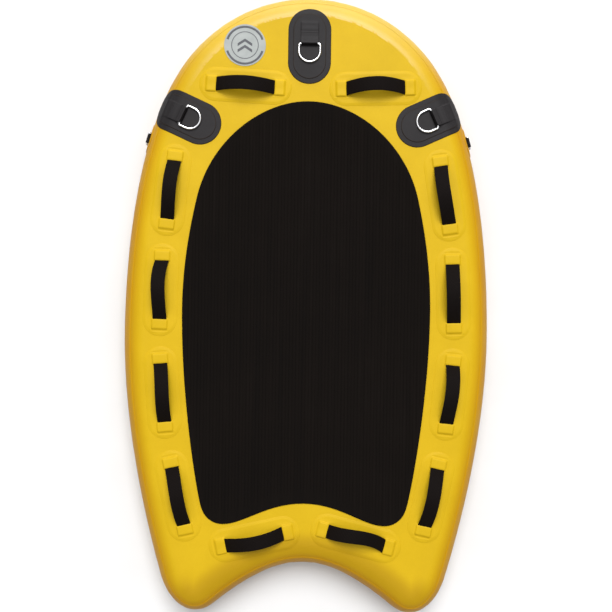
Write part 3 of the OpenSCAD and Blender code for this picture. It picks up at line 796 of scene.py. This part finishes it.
def strap_half(name, place, side, sway):
    """Half of a handle's webbing, which turns from lying fixed in its cover to following the raised loop."""
    u, z = strap_line(46)
    q = np.clip(u / MOUTH, 0, 1)
    hang = (sway[0] * (1 - q**2) + side * sway[1] * q * (1 - q**2)) * MM
    twist = 0.05 * side * sway[1] * q * (1 - q)
    u = u * side
    tangent = np.gradient(np.column_stack([u, z]), axis=0)
    tangent /= np.linalg.norm(tangent, axis=1, keepdims=True)
    normal = np.column_stack([-tangent[:, 1], tangent[:, 0]])
    normal *= np.sign(normal[:, 1:2] + 1e-9)
    across = np.linspace(-1, 1, 15)
    crown = 0.5 * MM * (1 - across**2)
    edge = np.where(np.abs(across) > 0.93, 0.55, 1.0)
    rings_top, rings_low, cloth = [], [], []
    along = np.concatenate([[0], np.cumsum(np.hypot(np.diff(u), np.diff(z)))])
    raised = smooth((z - PLY - WEB_T / 2) / (12 * MM))
    for k in range(len(u)):
        for off, rings in ((WEB_T / 2, rings_top), (-WEB_T / 2, rings_low)):
            shift = (off * edge + crown * raised[k])[:, None] * normal[k]
            uu = u[k] + shift[:, 0]
            vv = hang[k] + across * WEB_W / 2 * math.cos(twist[k])
            zz = z[k] + shift[:, 1] + across * WEB_W / 2 * math.sin(twist[k])
            plan = place.centre + uu[:, None] * place.u + vv[:, None] * place.v
            rings.append(np.column_stack([plan, DECK + zz]))
        cloth.append(np.column_stack([np.full(15, along[k]), across * WEB_W / 2, np.zeros(15)]))
    obj = slab(name, np.vstack(rings_top), np.vstack(rings_low), len(u), 15, body=None, material=WEBBING,
               attributes={"cloth": np.vstack(cloth)})
    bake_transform(obj)
    return obj


handle_bodies = [b for b in frame["bodies"] if b.startswith("handle_")]
for index, body in enumerate(sorted(handle_bodies)):
    joint = JOINTS[body + "_lean"]
    place = Place(joint["pos_m"], joint["axis"])
    short = body[len("handle_"):]
    grid = stadium_grid(*HANDLE_PATCH, 1.6 * MM, 61)
    plate(f"handle_patch_{short}_skin", place, grid, 0.0, lambda u, v, d: cover_height(u, v, d, index),
          PATCH_YELLOW, "handle_patch_" + short)
    halves = [strap_half(f"strap_{short}_{end}", place, side, SWAY[short])
              for end, side in (("a", -1), ("b", 1))]
    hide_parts("handle_strap_" + short)
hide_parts("webbing_ends")

# ---------------------------------------------------------------- tow rings

TOW_PATCH = (207 * MM, 118 * MM)
TOW_RIM = 14 * MM
COVER_PLY = 1.5 * MM
TOW_BAR = 5.5 * MM
TOW_WEB = 45 * MM
TOW_TAIL = 34 * MM


def tow_cover_height(u, v, dist):
    """The cover ply, raised over the webbing that runs on beneath it towards the rail."""
    buried = smooth((u - TOW_BAR - TOW_TAIL + 1.5 * MM) / (1.5 * MM))
    buried = buried * smooth((TOW_BAR + TOW_TAIL + 30 * MM - u) / (8 * MM))
    buried *= smooth((TOW_WEB / 2 + 3 * MM - np.abs(v)) / (3 * MM))
    ridge = 0.35 * MM * np.sin(u / (3.3 * MM)) * buried
    return edge_roll(dist, COVER_PLY, 1.2 * MM) + 1.6 * MM * buried + ridge


TAB_PLY = 1.3 * MM
TOW_EYE = 3.3 * MM
TOW_SEAT = PLY + COVER_PLY
TOW_PIN = TOW_SEAT + COVER_PLY + TOW_EYE


def ribbon(name, place, path, width, thickness, material, crease=None):
    """A strap of even thickness along a path of (u, height) points, laid on the chamber."""
    path = np.array(path)
    tangent = np.gradient(path, axis=0)
    tangent /= np.linalg.norm(tangent, axis=1, keepdims=True)
    normal = np.column_stack([tangent[:, 1], -tangent[:, 0]])
    across = np.array([-1, -0.985, -0.95, -0.85, -0.6, -0.3, 0, 0.3, 0.6, 0.85, 0.95, 0.985, 1])
    edge = np.array([0.3, 0.75, 1, 1, 1, 1, 1, 1, 1, 1, 1, 0.75, 0.3])
    along = np.concatenate([[0], np.cumsum(np.linalg.norm(np.diff(path, axis=0), axis=1))])
    extra = np.zeros(len(path)) if crease is None else crease
    sheets = []
    for off in (thickness / 2, -thickness / 2):
        shift = off * edge[None, :] + (extra[:, None] if off < 0 else 0)
        p = path[:, None] + shift[..., None] * normal[:, None]
        v = np.broadcast_to(across * width / 2, p.shape[:2])
        sheets.append(place.lay(p[..., 0], v, p[..., 1].reshape(-1)))
    cloth = np.column_stack([np.repeat(along, 13), np.tile(across * width / 2, len(path)),
                             np.full(13 * len(path), 1.0)])
    obj = slab(name, sheets[0], sheets[1], len(path), 13, material=material, attributes={"cloth": cloth})
    return obj


def tow_loop(name, place, node):
    """Webbing that comes back from the rail and wraps the ring's bar, under a grey tab."""
    outer_r = TOW_EYE + COVER_PLY / 2
    turn = np.linspace(-math.pi / 2, -3 * math.pi / 2, 22)
    fall = lambda q: smooth(q / 0.62)
    lay = TOW_SEAT + 1.5 * COVER_PLY + 0.05 * MM
    path = [(u, TOW_SEAT + COVER_PLY / 2) for u in np.linspace(TOW_BAR + TOW_TAIL, TOW_BAR + 1 * MM, 14)]
    path += [(TOW_BAR + outer_r * math.cos(a), TOW_PIN + outer_r * math.sin(a)) for a in turn]
    path += [(TOW_BAR + q * TOW_TAIL, (TOW_PIN + outer_r) * (1 - fall(q)) + lay * fall(q))
             for q in np.linspace(0, 1, 18)[1:]]
    webbing_loop = ribbon(name, place, path, TOW_WEB, COVER_PLY, LOOP_WEBBING)
    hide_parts(node)
    # the tab starts over the bar and runs down to the cover ply
    q = np.linspace(0.03, 1.12, 90)
    u = TOW_BAR + q * TOW_TAIL
    height = np.where(q < 1, (TOW_PIN + outer_r) * (1 - fall(q)) + lay * fall(q), lay)
    height = height + (COVER_PLY + TAB_PLY) / 2 + 0.05 * MM
    height = height - smooth((q - 1.0) / 0.06) * (height - TOW_SEAT - TAB_PLY / 2)
    marks = ((0.30, 0.5), (0.42, -0.25), (0.93, 0.3))
    crease = -sum(h * MM * np.exp(-((q - at) * TOW_TAIL / (1.1 * MM)) ** 2) for at, h in marks)
    tab = ribbon(name + "_tab", place, np.column_stack([u, height]), TOW_WEB + 3 * MM, TAB_PLY, GREY, crease)
    return webbing_loop


for short in ("nose", "right", "left"):
    joint = JOINTS[f"tow_ring_{short}_lift"]
    axis = np.array(joint["axis"])
    outward = np.array([axis[1], -axis[0]])
    place = Place(np.array(joint["pos_m"][:2]) - TOW_BAR * outward, outward)
    grid = stadium_grid(*TOW_PATCH, 1.8 * MM, 61)
    plate(f"tow_base_{short}_skin", place, grid, 0.0, lambda u, v, d: edge_roll(d, PLY, 1.6 * MM), GREY,
          "tow_base_" + short)
    inner = stadium_grid(TOW_PATCH[0] - 2 * TOW_RIM, TOW_PATCH[1] - 2 * TOW_RIM, 1.5 * MM, 61)
    plate(f"tow_cover_{short}_skin", place, inner, PLY, tow_cover_height, GREY,
          "tow_cover_" + short)
    tow_loop(f"tow_webbing_{short}", place, "tow_loop_" + short)

# ---------------------------------------------------------------- badge


def annulus(name, centre, r_in, r_out, low, high, material, node=None, arc=None):
    """A thin raised disc, ring or bow with rolled edges."""
    a = np.radians(np.arange(0, 360, 3.75) if arc is None else np.linspace(*arc, 49))
    r = np.linspace(r_in, r_out, 9)
    r[1], r[-2] = r_in + 0.3 * MM, r_out - 0.3 * MM
    share = np.array([0.5, 1, 1, 1, 1, 1, 1, 1, 0.5])
    if r_in == 0:
        share[0] = 1
    aa, rr = np.meshgrid(a, r, indexing="ij")
    x, y = centre[0] + rr * np.cos(aa), centre[1] + rr * np.sin(aa)
    rise = low + (high - low) * np.broadcast_to(share, aa.shape)
    top = np.column_stack([x.reshape(-1), y.reshape(-1), rise.reshape(-1)])
    bottom = top.copy()
    bottom[:, 2] = low
    obj = slab(name, top, bottom, *aa.shape, wrap=arc is None, material=material)
    if node:
        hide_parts(node)
    return obj


badge_low, badge_high = (np.array(v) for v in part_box("badge"))
badge_c = (badge_low + badge_high)[:2] / 2
badge_r = (badge_high[0] - badge_low[0]) / 2
badge_z = badge_high[2]
PRINT_LOW, PRINT_HIGH = badge_z - 0.1 * MM, badge_z + 0.2 * MM
annulus("badge_disc", badge_c, 0.0, badge_r, DECK, badge_z, BADGE, "badge")
for part, arc in (("front", (18, 162)), ("back", (198, 342))):
    annulus("badge_bow_" + part, badge_c, badge_r * 0.83, badge_r * 0.93, PRINT_LOW, PRINT_HIGH, PRINT,
            arc=arc)
annulus("badge_inner_line", badge_c, badge_r * 0.62, badge_r * 0.655, PRINT_LOW, PRINT_HIGH, PRINT)


def chevron(name, centre, width, rise, thick, y_shift):
    """A plain arrowhead stripe that points to the nose."""
    left, mid, right = np.array([-width, -rise]), np.array([0, 0.0]), np.array([width, -rise])
    outer, inner = [], []
    for a, b in ((left, mid), (mid, right)):
        for q in np.linspace(0, 1, 9):
            p = a * (1 - q) + b * q + centre + [0, y_shift]
            outer.append(p + [0, thick / 2])
            inner.append(p - [0, thick / 2])
    plan = np.stack([outer, inner], axis=1).reshape(-1, 2)
    top = np.column_stack([plan, np.full(2 * len(outer), PRINT_HIGH)])
    low = top.copy()
    low[:, 2] = PRINT_LOW
    obj = slab(name, top, low, len(outer), 2, material=PRINT)
    return obj


chevron("badge_chevron_front", badge_c, 20 * MM, 13 * MM, 8 * MM, 14 * MM)
chevron("badge_chevron_back", badge_c, 20 * MM, 13 * MM, 8 * MM, -3 * MM)

# ---------------------------------------------------------------- side rings

SIDE_PATCH_R = 42 * MM
SIDE_WEB = 26 * MM


def on_wall(step, along, up, lift):
    """Lays points on the side wall: along the outline and up from its middle, lifted off the band."""
    gaps = np.linalg.norm(np.diff(np.vstack([LOOP, LOOP[:1]]), axis=0), axis=1)
    travel = np.concatenate([[0], np.cumsum(gaps)])
    s = (travel[step] + np.asarray(along).reshape(-1)) % travel[-1]
    idx = np.interp(s, travel, np.arange(LOOP_N + 1))
    k = np.floor(idx).astype(int) % LOOP_N
    f = (idx - np.floor(idx))[:, None]
    p = LOOP[k] * (1 - f) + LOOP[(k + 1) % LOOP_N] * f
    n = OUT[k] * (1 - f) + OUT[(k + 1) % LOOP_N] * f
    up = np.asarray(up).reshape(-1)
    th = np.interp(ARC[-1] - np.abs(up), ARC, THETA)
    h, z = np.sin(th), np.cos(th) * np.sign(up)
    nrm = np.column_stack([n * (h / RAIL)[:, None], z / MID])
    nrm /= np.linalg.norm(nrm, axis=1, keepdims=True)
    base = np.column_stack([p + n * ((RAIL * h) - RAIL - BAND)[:, None], MID + MID * z])
    return base + nrm * (BAND + np.asarray(lift).reshape(-1))[:, None]


def side_webbing(short, step, pos):
    """The strap that comes down the wall, wraps the side ring's bar and goes back up over itself."""
    n = OUT[step]
    origin = np.array([*LOOP[step], 0.0])
    proud = float((pos[:2] - LOOP[step]) @ n)
    eye, ply = 2.8 * MM, 1.5 * MM
    r = eye + ply / 2
    foot = PLY + ply / 2
    turn = np.linspace(math.pi, 2 * math.pi, 20)
    path = [(foot + 0.4 * MM * q - bulge(q * 24 * MM), pos[2] + q * 24 * MM)
            for q in np.linspace(1, 0.1, 12)]
    path += [(proud + r * math.cos(a), pos[2] + r * math.sin(a)) for a in turn]
    for q in np.linspace(0, 1, 16)[1:]:
        rest = foot + ply - bulge(q * 24 * MM)
        path.append(((proud + r) * (1 - smooth(q / 0.8)) + rest * smooth(q / 0.8), pos[2] + q * 24 * MM))
    path = np.array(path)
    tangent = np.gradient(path, axis=0)
    tangent /= np.linalg.norm(tangent, axis=1, keepdims=True)
    normal = np.column_stack([tangent[:, 1], -tangent[:, 0]])
    across = np.array([-1, -0.97, -0.9, -0.6, -0.3, 0, 0.3, 0.6, 0.9, 0.97, 1])
    edge = np.array([0.3, 0.8, 1, 1, 1, 1, 1, 1, 1, 0.8, 0.3])
    side = np.array([-n[1], n[0], 0.0])
    sheets = []
    for off in (ply / 2, -ply / 2):
        p = path[:, None] + off * edge[None, :, None] * normal[:, None]
        points = origin + p[..., :1] * np.array([*n, 0.0]) + p[..., 1:] * np.array([0, 0, 1.0])
        points = points + (across * SIDE_WEB / 2)[None, :, None] * side
        sheets.append(points.reshape(-1, 3))
    along = np.concatenate([[0], np.cumsum(np.linalg.norm(np.diff(path, axis=0), axis=1))])
    cloth = np.column_stack([np.repeat(along, 11), np.tile(across * SIDE_WEB / 2, len(path)),
                             np.ones(11 * len(path))])
    loop = slab(f"side_webbing_{short}", sheets[0], sheets[1], len(path), 11, material=LOOP_WEBBING,
                attributes={"cloth": cloth})
    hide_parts("side_loop_" + short)


def bulge(up):
    """How far the wall has curved inwards at a height over the bar's."""
    z = np.clip((up + 8 * MM) / MID, 0, 1)
    return RAIL * (1 - np.sqrt(1 - z**2))


for short, sign in (("right", 1), ("left", -1)):
    joint = JOINTS[f"side_ring_{short}_swing"]
    pos = np.array(joint["pos_m"])
    step = int(((LOOP - pos[:2]) ** 2).sum(1).argmin())
    a = np.radians(np.arange(0, 360, 5))
    r = np.array([0, 0.15, 0.3, 0.45, 0.6, 0.75, 0.88, 0.95, 0.985, 1.0]) * SIDE_PATCH_R
    share = np.array([1, 1, 1, 1, 1, 1, 1, 0.95, 0.7, 0.3])
    aa, rr = np.meshgrid(a, r, indexing="ij")
    top = on_wall(step, rr * np.cos(aa), rr * np.sin(aa), PLY * np.broadcast_to(share, aa.shape))
    low = on_wall(step, rr * np.cos(aa), rr * np.sin(aa), np.zeros(aa.size))
    # the wall patch takes the side wall's deeper orange, partly painted shade
    rail = np.zeros((aa.size, 3))
    rail[:, 0] = 1
    patch = slab(f"side_patch_{short}_skin", top, low, *aa.shape, wrap=True, material=YELLOW,
                 attributes={"rail": rail})
    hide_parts("side_patch_" + short)
    side_webbing(short, step, pos)

# ---------------------------------------------------------------- valve pocket

SEAT_R = (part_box("valve_seat")[1][0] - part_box("valve_seat")[0][0]) / 2
SEAT_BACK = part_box("valve_seat")[1][1]
POCKET_R = SEAT_R - 2 * MM
POCKET_FLOOR = SEAT_BACK - 15 * MM
TUBE_R = 19 * MM
valve_z = (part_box("valve_seat")[0][2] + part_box("valve_seat")[1][2]) / 2
pierce(tail_band, (0, LOOP[HALF_N][1], valve_z), (0, 1, 0), SEAT_R, 40 * MM)


def valve_pocket():
    """The welded rim, wall and floor of the pocket in the tail wall, as one turned shape."""
    a = np.radians(np.arange(0, 360, 3.75))
    rim = [(SEAT_R + 2 * MM, 0.05), (SEAT_R + 1.8 * MM, 0.5), (SEAT_R + 1 * MM, 0.7), (SEAT_R - 1 * MM, 0.7),
           (POCKET_R + 0.3 * MM, 0.6), (POCKET_R, 0.2)]
    rows = [on_wall(HALF_N, r * np.cos(a), r * np.sin(a), np.full(len(a), h * MM)) for r, h in rim]
    rows += [np.column_stack([r * np.cos(a), np.full(len(a), y), valve_z + r * np.sin(a)])
             for r, y in ((POCKET_R, POCKET_FLOOR - 1 * MM), (POCKET_R - 0.8 * MM, POCKET_FLOOR),
                          (TUBE_R + 0.4 * MM, POCKET_FLOOR), (TUBE_R + 0.4 * MM, SEAT_BACK))]
    outer = [on_wall(HALF_N, SEAT_R * np.cos(a), SEAT_R * np.sin(a), np.zeros(len(a))),
             np.column_stack([SEAT_R * np.cos(a), np.full(len(a), SEAT_BACK), valve_z + SEAT_R * np.sin(a)])]
    rows = [outer[1], outer[0]] + rows
    cols = len(rows)
    grid = np.stack(rows, axis=1).reshape(-1, 3)
    faces = grid_quads(len(a), cols, wrap=True)
    for k in range(len(a)):
        m = (k + 1) % len(a)
        faces.append((k * cols + cols - 1, m * cols + cols - 1, m * cols, k * cols))
    # the pocket takes the tail wall's deeper orange and its painted shade
    rail = np.tile([1.0, 0.45, 0.0], (len(grid), 1))
    obj = weld(make_object("valve_pocket", grid, faces, material=YELLOW, attributes={"rail": rail}))
    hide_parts("valve_seat")


valve_pocket()

# ---------------------------------------------------------------- CAD nodes that keep their shape

NODE_MATERIALS = {
    "tow_ring_nose": STEEL, "tow_ring_right": STEEL, "tow_ring_left": STEEL,
    "side_ring_right": STEEL, "side_ring_left": STEEL,
    "rail_liner": YELLOW, "drop_threads": THREAD,
    "valve_body": VALVE, "valve_nut": VALVE, "valve_cap": VALVE,
    "valve_plunger": WHITE, "valve_spring": STEEL, "valve_cap_seal": SEAL,
}
for node, material in NODE_MATERIALS.items():
    slots = frame["nodes"][node].material_slots
    if slots:
        for s in slots:
            s.material = material

# ---------------------------------------------------------------- floor, light and camera


def floor():
    size, cells = 9.0, 24
    g = np.linspace(-size / 2, size / 2, cells + 1)
    xx, yy = np.meshgrid(g, g, indexing="ij")
    verts = np.column_stack([xx.reshape(-1), yy.reshape(-1), np.full(xx.size, -0.5 * MM)])
    mat, nodes, links, shader = node_material("pale_floor")
    v = object_coords(nodes, links, (1, 1, 1))
    stops = [(0.3, (0.68, 0.68, 0.68)), (0.7, (0.72, 0.72, 0.72))]
    links.new(ramp(nodes, links, noise(nodes, links, v, 3.0), stops), shader.inputs["Base Color"])
    shader.inputs["Roughness"].default_value = 0.9
    obj = make_object("floor", verts, grid_quads(cells + 1, cells + 1), body=None, material=mat)


def area_light(name, at, aim, size, power, colour=(1, 1, 1)):
    data = bpy.data.lights.new(name, "AREA")
    data.shape = "RECTANGLE"
    data.size, data.size_y = size
    data.energy = power
    data.color = colour
    obj = bpy.data.objects.new(name, data)
    obj.location = at
    direction = np.array(aim, float) - np.array(at, float)
    obj.rotation_euler = Vector(direction).to_track_quat("-Z", "Y").to_euler()
    bpy.context.scene.collection.objects.link(obj)


def key_light():
    """A broad, even light from the nose side."""
    height, drift, softness = 58, 3, 34
    data = bpy.data.lights.new("key", "SUN")
    data.energy = 2.85
    data.angle = math.radians(softness)
    obj = bpy.data.objects.new("key", data)
    obj.rotation_euler = (math.radians(height - 90), math.radians(drift), 0)
    bpy.context.scene.collection.objects.link(obj)


def camera():
    """Straight above the board's middle, turned a little; field is the width seen at mid-height."""
    distance = 2.808
    field = 1.7292
    data = bpy.data.cameras.new("camera")
    data.sensor_width = 36.0
    data.lens = data.sensor_width * distance / field
    data.clip_end = 50.0
    obj = bpy.data.objects.new("camera", data)
    obj.location = (-0.0004, -0.0028, MID + distance)
    obj.rotation_euler = (0.0, 0.0, math.radians(0.78))
    bpy.context.scene.collection.objects.link(obj)
    bpy.context.scene.camera = obj


def world():
    """A soft studio dome, bright overhead and dim towards the horizon."""
    w = bpy.data.worlds.new("studio")
    w.use_nodes = True
    nodes, links = w.node_tree.nodes, w.node_tree.links
    place = nodes.new("ShaderNodeTexCoord")
    split = nodes.new("ShaderNodeSeparateXYZ")
    links.new(place.outputs["Generated"], split.inputs["Vector"])
    dome = ramp(nodes, links, split.outputs["Z"], [(0.0, (0.10, 0.10, 0.10)), (0.35, (0.30, 0.30, 0.30)),
                                                   (0.75, (0.75, 0.75, 0.76)), (1.0, (0.88, 0.88, 0.90))])
    links.new(dome, nodes["Background"].inputs["Color"])
    nodes["Background"].inputs["Strength"].default_value = 1.0
    bpy.context.scene.world = w


floor()
key_light()
area_light("low_nose_side", (0.2, 3.6, 0.6), (0, 0.8, 0.1), (3.5, 0.8), 45)
area_light("fill_above", (0.3, 0.0, 5.5), (0, 0, 0), (5.0, 5.0), 26)
world()
camera()
bpy.context.scene.view_settings.view_transform = "Standard"
